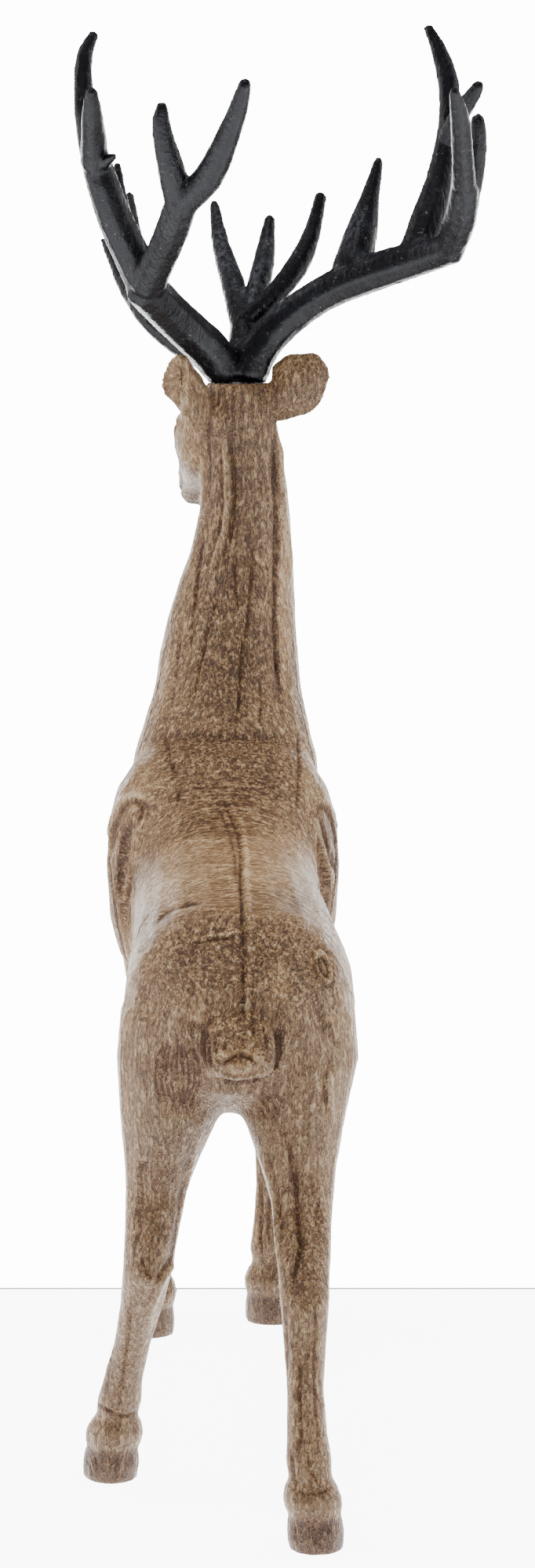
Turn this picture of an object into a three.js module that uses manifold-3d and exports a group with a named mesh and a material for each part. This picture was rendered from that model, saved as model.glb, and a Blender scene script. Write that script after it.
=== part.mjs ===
// Reindeer figurine: a standing stag cast in one piece with a carved-wood look, and the pair
// of black antlers, a second casting, that sits on the flat crown of its head.
// Millimetres, +Z up. The stag faces +Y, and the origin is on the ground under its middle.
import * as THREE from 'three';
import { mergeVertices } from 'three/addons/utils/BufferGeometryUtils.js';
import Module from 'manifold-3d';

const wasm = await Module();
wasm.setup();

// Driving dimensions.
const HEIGHT = 500; // from the soles to the highest antler tip
const SEAT_GAP = 0.3; // between the crown of the head and the foot of the antlers
const HOLLOW_REACH = 7; // half the width of the hollow gouged behind each shoulder

// Every table below is in five-hundredths of the height, which keeps the pose and proportions.
const UNIT = HEIGHT / 500;

// Where the flat crown of the head carries the antlers.
const CROWN = { x: -0.3, y: 267, z: 366 };
const HEAD_YAW = 14.5; // degrees that the face turns to the stag's left
const HEAD_PITCH = 26.5; // degrees that the face looks down
const HEAD_START = [-1, 262, 354]; // back of the skull, in the middle of the neck's top

// Trunk, as upright slices: y, middle x, widest z, half width, height above it, depth below it,
// and how square the slice is, where 2 is an ellipse.
const TRUNK = [
  [33, 1.5, 163, 26, 21, 20, 2.2],
  [42, 1.5, 165, 34.5, 29, 28, 2.3],
  [57, 1.5, 167, 38.6, 34.5, 33, 2.3],
  [78, 1.3, 170, 39, 33, 29, 2.2],
  [110, 0, 174, 37, 33, 30, 2.1],
  [145, -1.8, 177, 35.2, 32.5, 36, 2.1],
  [172, -3.4, 178, 34, 34.5, 41, 2.1],
  [192, -4.6, 181, 35.5, 42.5, 46, 2.2],
  [207, -5.5, 185, 42, 49, 50, 2.5],
  [223, -5.8, 188, 43.8, 50, 52, 2.6],
  [240, -5.8, 190, 41, 48, 50, 2.5],
  [255, -5.6, 192, 33, 42, 43, 2.3],
  [266, -5.5, 193, 24, 32, 32, 2.2],
];

// Neck, as level slices: z, middle x, middle y, half width, depth in front, depth behind.
const NECK = [
  [188, -5.4, 236, 34, 38, 28],
  [205, -5.4, 239, 36, 39, 31],
  [222, -5.2, 244, 35.6, 36, 34],
  [236, -4.8, 250, 32, 33, 36],
  [250, -4.3, 257, 28, 28, 32],
  [266, -3.6, 262, 26.2, 24.5, 27],
  [284, -1.8, 266, 23.2, 20.5, 23.5],
  [302, 1, 267, 19.6, 18, 18.5],
  [320, 2.4, 268, 16.8, 17.5, 16.5],
  [338, 1.6, 269, 15.4, 18, 16],
  [352, 0.4, 269, 14, 16, 15],
  [366, -0.3, 267, 11.8, 12, 12],
];

// Head, as slices across its own axis: distance from its start, half width, height, depth,
// and how square the slice is.
const HEAD = [
  [-3, 10, 10, 9, 2.2],
  [4, 14.5, 14.5, 13, 2.2],
  [14, 18.4, 16.5, 16.5, 2.2],
  [22, 19.2, 15.5, 17.8, 2.3],
  [32, 17, 13.4, 16.6, 2.5],
  [43, 13.4, 11, 13.8, 2.8],
  [53, 10.8, 9.4, 11.6, 3],
  [60, 9.6, 8.8, 10.8, 3.2],
  [67, 8.4, 7.4, 9.6, 3.2],
];

// Ears, as slices along each: distance from the root, half width, half thickness,
// bow of the rims and bulge of the back.
const EAR = [
  [-3, 6.4, 3.6, 1.5, 0],
  [3, 9, 3, 3.4, 1.6],
  [8, 11, 2.5, 4.8, 2.8],
  [13, 11.5, 2.1, 5.4, 3],
  [18, 9.8, 1.8, 4.4, 2],
  [22.5, 6.6, 1.5, 2.2, 0.4],
];
// Each ear's root, the way it points, the way its hollow faces and how far it is folded.
const EARS = {
  right: { root: [11.8, 263, 358.5], along: [0.82, -0.1, 0.64], open: [0.3, 0.95, 0], fold: 1 },
  left: { root: [-12.6, 257.5, 354], along: [-0.34, -0.3, 0.9], open: [-0.93, -0.3, -0.3], fold: 2.3 },
};

// Hind leg, as level slices: z, half width, depth in front, depth behind.
const HIND_LEG = [
  [0, 9.2, 12, 11],
  [5, 9.6, 11.6, 11.2],
  [9.5, 9.1, 10, 10.2],
  [11, 8.5, 9.2, 9.5],
  [12.8, 9.5, 9.9, 10.5],
  [17, 9.9, 9.9, 10.9],
  [20.5, 8.8, 8.6, 9.5],
  [23.5, 7.1, 7.1, 7.6],
  [29, 7.5, 7.7, 8.1],
  [38, 6.7, 6.9, 7.2],
  [52, 6.1, 6.7, 6.9],
  [68, 7.2, 8.2, 8.6],
  [80, 8.3, 9.4, 11.3],
  [93, 9, 11, 11.5],
  [107, 10.4, 15, 13],
  [119, 13.2, 21, 17.5],
  [134, 17.6, 29, 25],
  [152, 20.6, 35, 30],
  [168, 19.6, 33, 28],
  [182, 12.5, 24, 21],
];
// Where each hind leg's slices stand: z, x, y, and the degrees that the toe turns to the left.
const HIND_STANCE = {
  right: [
    [0, 27, 1, 2], [12, 26.4, -0.5, 2], [23, 25.1, -1, 1], [38, 24, 2, 0], [68, 23.2, 11, 0],
    [84, 23.2, 17, 0], [107, 22.5, 36, 0], [134, 20, 52, 0], [152, 21.2, 58, 0],
    [168, 21, 60, 0], [182, 14, 58, 0],
  ],
  left: [
    [0, -43.7, 73, 16], [12, -42.6, 70, 16], [23, -41, 67, 14], [38, -38.5, 62, 10], [68, -31.6, 49, 4],
    [84, -29, 45, 0], [107, -26.7, 53, 0], [134, -21.6, 58, 0], [152, -19.4, 60, 0],
    [168, -19.2, 60, 0], [182, -13, 58, 0],
  ],
};

// Foreleg, as level slices: z, half width, depth in front, depth behind.
const FORELEG = [
  [0, 10.6, 12.4, 10.4],
  [5, 10.8, 12, 10.6],
  [9.5, 10.2, 10.4, 10.2],
  [11, 9.6, 9.6, 9.6],
  [12.8, 10.6, 10.3, 10.5],
  [17.5, 10.9, 10.3, 10.9],
  [21, 9.5, 9, 9.5],
  [24, 7.8, 7.5, 7.9],
  [30, 8.9, 8.4, 8.8],
  [40, 7.4, 7.2, 7.6],
  [56, 6.3, 6.8, 7],
  [68, 6.8, 7.6, 7.2],
  [79, 8.1, 9.4, 8.4],
  [90, 8, 9, 8.8],
  [106, 8.6, 10.5, 11],
  [126, 10.5, 14, 15],
  [148, 12.8, 19, 20],
  [170, 14.6, 24, 23],
  [190, 14, 23, 21],
  [205, 10, 17, 15],
];
const FORE_STANCE = {
  right: [
    [0, 13, 263, -4], [12, 12.7, 261, -4], [24, 12.9, 259, -3], [56, 12.9, 257, 0], [80, 13.2, 256, 0],
    [106, 14.6, 250, 0], [148, 20.6, 239, 0], [170, 22.4, 234, 0], [190, 21.6, 231, 0], [205, 16, 229, 0],
  ],
  left: [
    [0, -35.8, 245, 5], [12, -35.4, 243, 5], [24, -34.2, 241, 4], [56, -31, 241, 0], [80, -29.6, 242, 0],
    [106, -29.4, 240, 0], [148, -31, 236, 0], [170, -32.8, 233, 0], [190, -32.5, 230, 0], [205, -27, 228, 0],
  ],
};

// Tail, as slices along it: distance from the root, half width, height, depth.
const TAIL = [
  [-7, 9.6, 6, 7.5],
  [6, 11, 6, 7.5],
  [16, 11.6, 5, 6.8],
  [24, 11, 3, 5.4],
];
const TAIL_ROOT = [2.2, 33, 169.5];
const TAIL_DROOP = 28; // degrees below level
// The scoop out of the tail's end: [x, y, z, radius].
const TAIL_SCOOP = [[2.2, 2, 165, 7.6], [2.2, 9, 165, 7.8], [2.2, 14.5, 166, 5]];

// Scooped hollows behind the shoulders: share of the trunk's half width, y, z, and share of the reach.
const HOLLOW = [
  [1, 199, 216, 0.5],
  [1.04, 196, 202, 0.9],
  [1.06, 195, 188, 1],
  [1.08, 195, 170, 0.8],
  [1.12, 197, 150, 0.4],
];

// Antler branches: [x, y, z, radius] from the middle of the crown.
const ANTLERS = {
  right: {
    beam: [
      [4.2, 0, 2, 6.9], [6.8, 1, 10.8, 7.1], [15.2, 2, 20.9, 6.5], [31.8, -3, 33.5, 6.2],
      [52.2, -12, 42.6, 6.8], [69.5, -21, 48.1, 5.9], [80.2, -30, 51.9, 5.5],
    ],
    fork_stem: [
      [78.6, -28, 51.2, 5.5], [81.5, -38, 59.6, 5.5], [83.1, -46, 67.7, 5.2], [83.1, -51, 74, 4.6],
    ],
    fork_inner: [
      [83.2, -50, 72.6, 4.3], [81.9, -62, 85.4, 3.5], [80.2, -74, 99.4, 3.1],
      [77.8, -82, 108.7, 1.3],
    ],
    fork_outer: [
      [84, -46, 67.7, 4], [87, -47, 81.1, 3.4], [87.9, -49, 91.6, 3], [87.8, -51, 99.2, 1.9],
    ],
    crown: [
      [66.2, -17, 47.4, 6.2], [71.3, -12, 61.3, 6.2], [75.5, -7, 74.9, 4.9], [79.1, -1, 95.2, 3.5],
      [79.8, 2, 108.9, 3.7], [77.4, 5, 120.6, 3.1], [71.9, 8, 133.1, 1.2],
    ],
    crown_tine: [
      [79.3, -4, 91.5, 3.5], [83.1, -9, 100.7, 3.2], [87.3, -14, 107.1, 2.6],
      [90, -17, 111.6, 1.6],
    ],
    mid_tine: [
      [42.9, -6, 42.7, 7.1], [46.6, 1, 55.7, 5.9], [49.9, 6, 68.9, 3.4], [53.5, 10, 83.5, 1.2],
    ],
    brow_stem: [[3.8, 3, 7.8, 6.6], [2, 8, 15.8, 5.1], [1.7, 13, 22.1, 4.2]],
    brow_front: [
      [1.1, 14, 22.1, 3.9], [-2, 30, 36.4, 4.2], [-6.7, 48, 50, 3.1], [-9.6, 64, 66.1, 1.4],
    ],
    brow_middle: [
      [1.7, 13, 22.1, 3.6], [7.4, 24, 34.2, 4.1], [10.4, 34, 47.4, 3.5], [12.2, 44, 61.3, 1.4],
    ],
    brow_rear: [
      [2.6, 12, 22.8, 3.6], [12.2, 12, 31.1, 3.6], [23, 16, 44.1, 4], [29, 21, 58.2, 2.7],
      [31.7, 24, 70, 1.8],
    ],
  },
  left: {
    beam: [
      [-4.2, 0, 2, 6.9], [-9.2, -2, 11, 7.7], [-17.1, -9, 19, 7.4], [-25.6, -22, 27.8, 7.3],
      [-34.1, -40, 37.8, 7.2],
    ],
    fork_stem: [
      [-32.9, -42, 39, 6.4], [-27.3, -56, 50, 5.7], [-23, -68, 59.4, 5.7], [-19.3, -79, 70, 5.6],
    ],
    fork_inner: [
      [-18.2, -79, 70, 5.1], [-9.9, -86, 78.1, 4.9], [-3.4, -94, 91.1, 4], [0.8, -100, 101.7, 3],
      [3.6, -105, 111.2, 1.8],
    ],
    fork_outer: [
      [-19.9, -77, 68.3, 5.1], [-22.9, -82, 80.5, 4.6], [-25.8, -86, 92.4, 3.3],
      [-26.6, -88, 100.2, 2.5], [-26, -89, 103.4, 1.5],
    ],
    crown: [
      [-33, -38, 36.6, 6.4], [-38.7, -41, 49.6, 6.4], [-44.5, -44, 62.3, 6],
      [-49.8, -47, 78.2, 5.4], [-53.7, -46, 93.8, 4.3], [-56.1, -43, 109.4, 3.2],
      [-55.5, -41, 122.1, 2.6], [-52.3, -40, 129.5, 1.3],
    ],
    crown_tine: [
      [-51.7, -49, 83.1, 4.9], [-51.8, -57, 93.3, 4.1], [-52, -65, 102.2, 3.1],
      [-51.8, -69, 108.8, 1.5],
    ],
    spur: [[-50.2, -50, 82.5, 3.1], [-46.2, -56, 84.5, 1.4], [-43.9, -58, 85.9, 0.6]],
    mid_tine: [
      [-33.7, -34, 35.8, 5.2], [-40.3, -25, 54.9, 3.5], [-44, -17, 71.3, 2.3], [-45, -13, 82.5, 1],
    ],
    brow_stem: [
      [-5.1, 3, 7.8, 6.6], [-21.2, 4, 14.2, 4.5], [-30.9, 9, 21.1, 3.9], [-37, 14, 26.9, 3.3],
    ],
    brow_front: [
      [-36.4, 14, 26.3, 3.3], [-43.4, 28, 35.6, 2.6], [-48.7, 42, 45.7, 1.8],
      [-52.6, 50, 52.7, 0.9],
    ],
    brow_middle: [
      [-35.7, 13, 26.3, 3], [-40.7, 20, 40.4, 2.7], [-42.6, 25, 51.5, 1.8], [-43.2, 27, 58.1, 1.1],
    ],
    brow_rear: [
      [-33.3, 11, 23.4, 3.3], [-37.2, 4, 42.4, 3], [-39.9, -2, 60.2, 2.5], [-40.6, -5, 70.8, 1.2],
    ],
  },
};

/** Smooth values between the rows [position, value, value, ...] of a table. */
function smooth(rows) {
  const between = new THREE.CubicInterpolant(
    rows.map((row) => row[0]),
    rows.flatMap((row) => row.slice(1)),
    rows[0].length - 1,
  );
  return (position) => Array.from(between.evaluate(position));
}

/** Positions from the first to the last row of a table, in even steps. */
function evenly(rows, steps) {
  const [first, last] = [rows[0][0], rows.at(-1)[0]];
  return Array.from({ length: steps + 1 }, (_, i) => THREE.MathUtils.lerp(first, last, i / steps));
}

/** A closed solid from rings of points, with a point at each end. */
function solidFromRings(rings, firstPoint, lastPoint) {
  const sides = rings[0].length;
  const points = [...rings.flat(), firstPoint, lastPoint];
  const first = rings.length * sides;
  const triangles = [];
  for (let i = 0; i < sides; i += 1) {
    const next = (i + 1) % sides;
    triangles.push([first, next, i]);
    for (let r = 0; r + 1 < rings.length; r += 1) {
      const [a, b] = [r * sides + i, r * sides + next];
      triangles.push([a, b, b + sides], [a, b + sides, a + sides]);
    }
    const last = (rings.length - 1) * sides;
    triangles.push([first + 1, last + i, last + next]);
  }
  const geometry = new THREE.BufferGeometry();
  const coordinates = points.flatMap((point) => [point.x, point.y, point.z]);
  geometry.setAttribute('position', new THREE.Float32BufferAttribute(coordinates, 3));
  geometry.setIndex(triangles.flat());
  return toSolid(geometry);
}

/** A manifold solid from a closed geometry, turned the right way out. */
function toSolid(geometry) {
  const merged = mergeVertices(geometry, 1e-4);
  const triVerts = Uint32Array.from(merged.index.array);
  const build = () => new wasm.Manifold(new wasm.Mesh({
    numProp: 3,
    vertProperties: Float32Array.from(merged.attributes.position.array),
    triVerts,
  }));
  const solid = build();
  if (solid.volume() > 0) return solid;
  for (let i = 0; i < triVerts.length; i += 3) {
    [triVerts[i], triVerts[i + 1]] = [triVerts[i + 1], triVerts[i]];
  }
  return build();
}

/** One point of a rounded section whose upper and lower halves may differ. */
function sectionPoint(angle, half, upper, lower, roundness = 2) {
  const across = Math.cos(angle);
  const up = Math.sin(angle);
  const bulge = 2 / roundness;
  return [
    half * Math.sign(across) * Math.abs(across) ** bulge,
    (up > 0 ? upper : lower) * Math.sign(up) * Math.abs(up) ** bulge,
  ];
}

/**
 * A solid from slices. section(position) gives { half, upper, lower, roundness }, and
 * place(position, across, up) puts a point of a slice where it belongs.
 * Each end is closed by a dome of the given length, or flat where that is 0.
 */
function stack(positions, section, place, { sides, domes = [0, 0] }) {
  const ring = (position, shrink, shift) => Array.from({ length: sides }, (_, i) => {
    const { half, upper, lower, roundness } = section(position);
    const [across, up] = sectionPoint((i / sides) * 2 * Math.PI, half, upper, lower, roundness);
    return place(position, across * shrink, up * shrink, shift);
  });
  const [first, last] = [positions[0], positions.at(-1)];
  const domeSteps = [0.45, 0.8];
  const rings = positions.map((position) => ring(position, 1, 0));
  for (const share of domes[0] ? domeSteps : []) {
    rings.unshift(ring(first, Math.sqrt(1 - share ** 2), -share * domes[0]));
  }
  for (const share of domes[1] ? domeSteps : []) {
    rings.push(ring(last, Math.sqrt(1 - share ** 2), share * domes[1]));
  }
  return solidFromRings(rings, place(first, 0, 0, -domes[0]), place(last, 0, 0, domes[1]));
}

/** A round, tapering branch through [x, y, z, radius] points, with blunt ends. */
function branch(points, sides = 8) {
  const path = new THREE.CatmullRomCurve3(points.map(([x, y, z]) => new THREE.Vector3(x, y, z)));
  const radiusAt = smooth(points.map((point, i) => [i / (points.length - 1), point[3]]));
  const steps = (points.length - 1) * 2;
  const { tangents, normals, binormals } = path.computeFrenetFrames(steps);
  const centres = Array.from({ length: steps + 1 }, (_, i) => path.getPointAt(i / steps));
  const rings = centres.map((centre, i) => {
    const radius = radiusAt(path.getUtoTmapping(i / steps))[0];
    return Array.from({ length: sides }, (_, s) => {
      const angle = (s / sides) * 2 * Math.PI;
      return centre.clone()
        .addScaledVector(normals[i], radius * Math.cos(angle))
        .addScaledVector(binormals[i], radius * Math.sin(angle));
    });
  });
  const blunt = 0.8;
  const start = centres[0].clone().addScaledVector(tangents[0], -points[0][3] * blunt);
  const end = centres[steps].clone().addScaledVector(tangents[steps], points.at(-1)[3] * blunt);
  return solidFromRings(rings, start, end);
}

/** All of the solids in a list as one. */
function join(solids) {
  return solids.reduce((whole, solid) => whole.add(solid));
}

function trunk() {
  const at = smooth(TRUNK);
  const section = (y) => {
    const [, , half, upper, lower, roundness] = at(y);
    return { half, upper, lower, roundness };
  };
  const place = (y, across, up, shift = 0) => new THREE.Vector3(at(y)[0] + across, y + shift, at(y)[1] + up);
  return stack(evenly(TRUNK, 22), section, place, { sides: 24, domes: [7, 15] });
}

/** A solid from level slices that stand at [x, y] given by a second table. */
function levelStack(rows, stance, positions, sides, domes, roundness) {
  const size = smooth(rows);
  const stand = smooth(stance);
  const section = (z) => {
    const [half, upper, lower] = size(z);
    return { half, upper, lower, roundness };
  };
  const place = (z, across, forward, shift = 0) => {
    const [x, y, turn] = stand(z);
    const aim = THREE.MathUtils.degToRad(turn);
    return new THREE.Vector3(
      x + across * Math.cos(aim) - forward * Math.sin(aim),
      y + across * Math.sin(aim) + forward * Math.cos(aim),
      z + shift,
    );
  };
  return stack(positions, section, place, { sides, domes });
}

function neck() {
  const rows = NECK.map(([z, , , half, front, back]) => [z, half, front, back]);
  const stance = NECK.map(([z, x, y]) => [z, x, y, 0]);
  return levelStack(rows, stance, evenly(NECK, 14), 22, [6, 6], 2);
}

function leg(rows, stance) {
  const heights = rows.map(([z]) => z);
  return levelStack(rows, stance, heights, 14, [0, 8], 2.2);
}

/** Turns a solid that was made along +Y to point along the head. */
function aimHead(solid) {
  return solid.rotate([-HEAD_PITCH, 0, 0]).rotate([0, 0, HEAD_YAW]).translate(HEAD_START);
}

function head() {
  const at = smooth(HEAD);
  const section = (y) => {
    const [half, upper, lower, roundness] = at(y);
    return { half, upper, lower, roundness };
  };
  const place = (y, across, up, shift = 0) => new THREE.Vector3(across, y + shift, up);
  return aimHead(stack(evenly(HEAD, 12), section, place, { sides: 18, domes: [3, 4] }));
}

/** A leaf-shaped ear, bowed towards the way that it faces. */
function ear({ root, along, open, fold }) {
  const at = smooth(EAR);
  const axis = new THREE.Vector3(...along).normalize();
  const across = new THREE.Vector3().crossVectors(axis, new THREE.Vector3(...open)).normalize();
  const facing = new THREE.Vector3().crossVectors(across, axis).normalize();
  const section = (distance) => {
    const [half, thickness] = at(distance);
    return { half, upper: thickness, lower: thickness, roundness: 2 };
  };
  const place = (distance, side, out, shift = 0) => {
    const [half, , bow, bulge] = at(distance);
    return new THREE.Vector3(...root)
      .addScaledVector(axis, distance + shift)
      .addScaledVector(across, side)
      .addScaledVector(facing, out - bulge + fold * bow * (side / half) ** 2);
  };
  return stack(evenly(EAR, 7), section, place, { sides: 12, domes: [0, 3.5] });
}

function tail() {
  const at = smooth(TAIL);
  const section = (y) => {
    const [half, upper, lower] = at(y);
    return { half, upper, lower, roundness: 2.4 };
  };
  const place = (y, across, up, shift = 0) => new THREE.Vector3(across, -(y + shift), up);
  return stack(evenly(TAIL, 4), section, place, { sides: 14, domes: [0, 0] })
    .rotate([TAIL_DROOP, 0, 0])
    .translate(TAIL_ROOT);
}

/** The block above the crown, which cuts the top of the head flat. */
function crownCut() {
  const size = 26;
  const block = new THREE.BoxGeometry(size, size, size);
  block.deleteAttribute('normal');
  block.deleteAttribute('uv');
  return toSolid(block).translate([CROWN.x, CROWN.y, CROWN.z + size / 2]);
}

/** The gouged hollow behind one shoulder. side is -1 for the left. */
function hollow(side) {
  const trunkAt = smooth(TRUNK);
  const points = HOLLOW.map(([share, y, z, reach]) => {
    const [x, , half] = trunkAt(y);
    return [x + side * half * share, y, z, reach * HOLLOW_REACH];
  });
  return branch(points, 10);
}

function deer() {
  const body = join([
    trunk(),
    neck(),
    head(),
    tail(),
    ear(EARS.right),
    ear(EARS.left),
    leg(HIND_LEG, HIND_STANCE.right),
    leg(HIND_LEG, HIND_STANCE.left),
    leg(FORELEG, FORE_STANCE.right),
    leg(FORELEG, FORE_STANCE.left),
  ]);
  return body.subtract(join([crownCut(), hollow(1), hollow(-1), branch(TAIL_SCOOP)]));
}

function antlers() {
  const paths = Object.values(ANTLERS).flatMap((side) => Object.values(side));
  const whole = join(paths.map((points) => branch(points))).translate([CROWN.x, CROWN.y, CROWN.z]);
  const size = 60;
  const below = new THREE.BoxGeometry(size, size, size);
  below.deleteAttribute('normal');
  below.deleteAttribute('uv');
  return whole.subtract(toSolid(below).translate([CROWN.x, CROWN.y, CROWN.z + SEAT_GAP / UNIT - size / 2]));
}

function meshOf(name, solid, color, roughness) {
  const { vertProperties, triVerts } = solid.scale(UNIT).getMesh();
  const geometry = new THREE.BufferGeometry();
  geometry.setAttribute('position', new THREE.BufferAttribute(vertProperties, 3));
  geometry.setIndex(new THREE.BufferAttribute(triVerts, 1));
  geometry.computeVertexNormals();
  const mesh = new THREE.Mesh(geometry, new THREE.MeshStandardMaterial({ color, roughness, metalness: 0 }));
  mesh.name = name;
  return mesh;
}

const figurine = new THREE.Group();
figurine.add(meshOf('deer', deer(), 0x9c8064, 0.75));
figurine.add(meshOf('antlers', antlers(), 0x1d1f26, 0.5));

// The tables start from the right hind hoof. This puts the ground under the middle at the origin.
const bounds = new THREE.Box3().setFromObject(figurine);
const middle = bounds.getCenter(new THREE.Vector3());
figurine.children.forEach((mesh) => mesh.geometry.translate(-middle.x, -middle.y, -bounds.min.z));

export default figurine;
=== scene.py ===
"""Reindeer figurine: the carved-look casting, its dark antlers, and the plain stage around them."""
import math

import bmesh
import bpy
import numpy as np
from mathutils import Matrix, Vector


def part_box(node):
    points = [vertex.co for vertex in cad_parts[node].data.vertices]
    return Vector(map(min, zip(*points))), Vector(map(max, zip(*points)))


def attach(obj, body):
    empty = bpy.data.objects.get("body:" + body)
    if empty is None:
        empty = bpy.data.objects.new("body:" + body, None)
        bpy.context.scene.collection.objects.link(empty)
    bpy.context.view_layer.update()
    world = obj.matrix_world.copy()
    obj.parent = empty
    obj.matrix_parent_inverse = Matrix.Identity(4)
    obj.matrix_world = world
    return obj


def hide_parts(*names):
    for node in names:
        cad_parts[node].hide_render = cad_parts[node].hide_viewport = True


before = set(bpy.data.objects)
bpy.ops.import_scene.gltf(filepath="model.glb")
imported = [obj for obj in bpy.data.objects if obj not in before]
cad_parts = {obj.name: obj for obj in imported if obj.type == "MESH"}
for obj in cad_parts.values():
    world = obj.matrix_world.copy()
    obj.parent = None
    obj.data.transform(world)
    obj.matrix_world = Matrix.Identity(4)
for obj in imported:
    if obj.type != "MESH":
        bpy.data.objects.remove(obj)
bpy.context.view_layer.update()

bl_info = {
    "name": "Reindeer Figurine",
    "version": (1, 0, 0),
    "blender": (4, 5, 0),
    "location": "View3D > Sidebar > Reindeer",
    "description": "Dresses the reindeer figurine's solids with its carved surface and finishes",
    "category": "Object",
}

MM = 0.001
SOLE_HEIGHT = 0.8
IMAGE_HEIGHT = 2000
SENSOR_WIDTH = 36

# Where the tables of the solids have their zero, seen from the origin under the figurine, in mm.
TABLE_ZERO = np.array([-15.77, -159.99, 0.0])

# The view from behind that the drawn lines below are laid out in: a sheet 682 wide and 2000 high.
SHEET_CENTRE = (341.0, 1000.0)
SHEET_SCALE = 5243.68
EYE = (TABLE_ZERO + np.array([11.0, -1300.0, 460.45])) * MM
EYE_PITCH = 0.157404

# The head's own frame: the back of the skull, and how far the face turns left and looks down.
HEAD_START = np.array([-1.0, 262.0, 354.0])
HEAD_YAW = math.radians(14.5)
HEAD_PITCH = math.radians(26.5)

# Across from the tables' zero in mm: the middle of the crown and of the tail.
CROWN_MIDDLE = -0.3
TAIL_MIDDLE = 2.2

# The face in the head's own frame, in mm: how far ahead and up, and the half sizes.
EYE_PLACE = (25, 4.2)
EYE_HALF = (4.8, 3.3)
NOSTRIL_PLACE = (66.5, 0.8)
NOSTRIL_HALF = (2.6, 1.8)

# Heights between which the antlers' foot gives way to the free branches, in mm.
ANTLER_FOOT = (370, 367.5)
WEB_HEIGHT = (392, 382)

# Shallowest carving beside which the skin is refined, in mm.
TRACE = 0.02

# The stage in metres: half width of the floor and backdrop, and the heights of the rim and backdrop.
FLOOR_HALF = 3
BACKDROP_HALF = 1.7
BACKDROP_DISTANCE = 3
RIM_HEIGHTS = (-0.0012, 0.0007)
BACKDROP_HEIGHTS = (-1.2, 0.63)
LIT_POINT = (0, 0.05, 0.25)
# Each lamp's name, place, size and power.
LAMPS = (
    ("key", (-0.5, -1.9, 1.7), (1.0, 1.0), 9),
    ("top", (-0.2, -0.1, 1.9), (0.8, 0.8), 13),
    ("left", (-1.5, 0.5, 0.6), (0.8, 1.6), 24),
    ("right", (1.5, 0.5, 0.6), (0.8, 1.6), 24),
)

# Carved lines drawn on the sheet: points, half width and depth in mm (negative is a ridge),
# and how far from the rear they may reach, in mm.
BACK = (40, 300)
NECK = (200, 330)
RUMP = (-20, 120)
SPINE_LINES = [
    ([(285, 1012), (288, 1030), (296, 1047), (304, 1066), (307, 1095), (306, 1125), (308, 1157),
      (309, 1189),
      (311, 1222), (310, 1257), (310, 1300), (308, 1334)], 0.55, 0.9, (-20, 300)),
    ([(292, 1020), (300, 1036), (309, 1054), (314, 1085), (315, 1120), (318, 1160), (320, 1200),
      (319, 1250),
      (318, 1300)], 0.8, -0.6, (0, 300)),
    ([(273, 1010), (281, 1036), (292, 1062), (299, 1090), (301, 1130)], 0.5, 0.5, BACK),
    ([(318, 1196), (320, 1240), (322, 1290), (321, 1325)], 0.5, 0.5, (0, 300)),
]
NECK_LINES = [
    ([(285, 552), (289, 582), (290, 626), (290, 645), (287, 677), (278, 705), (267, 733)], 1.0, -1.6, NECK),
    ([(293, 560), (297, 590), (298, 630), (297, 650), (294, 682), (286, 708)], 0.8, 1.0, NECK),
    ([(279, 560), (283, 590), (284, 640), (280, 676), (272, 702)], 0.6, 0.5, NECK),
    ([(347, 530), (349, 560), (350, 626), (352, 665), (352, 702), (351, 752), (350, 802), (352, 840),
      (355, 877), (360, 918)], 0.9, 1.5, NECK),
    ([(358, 545), (358, 575), (357, 604), (360, 636), (363, 662), (367, 695), (370, 722),
      (369, 738)], 0.9, -1.4, NECK),
    ([(224, 456), (231, 459), (236, 466), (237, 482), (235, 502), (234, 522),
      (232, 538)], 0.8, -1.0, (230, 330)),
    ([(222, 462), (228, 466), (231, 474), (231, 490), (229, 506)], 1.2, 0.7, (230, 330)),
    ([(265, 650), (265, 677), (257, 705), (252, 740), (246, 790), (244, 850)], 0.6, 0.7, NECK),
    ([(248, 722), (247, 760), (246, 810), (245, 862)], 0.4, -0.5, NECK),
    ([(321, 690), (321, 720), (319, 750), (315, 795), (310, 815), (306, 850), (305, 890),
      (300, 925)], 0.6, 0.9, NECK),
    ([(300, 714), (299, 732), (300, 752), (304, 776)], 0.5, 0.6, NECK),
    ([(279, 748), (276, 765), (272, 782), (266, 806), (260, 828), (252, 868), (245, 903)], 0.5, 0.6, NECK),
    ([(232, 800), (228, 830), (224, 870), (219, 905)], 0.5, 0.5, NECK),
    ([(331, 870), (333, 895), (331, 925)], 0.5, 0.5, NECK),
    ([(270, 520), (266, 560), (268, 600), (266, 640)], 0.6, 0.7, NECK),
    ([(255, 560), (258, 590), (257, 630), (252, 660), (240, 700)], 0.7, -0.7, NECK),
]
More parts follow.
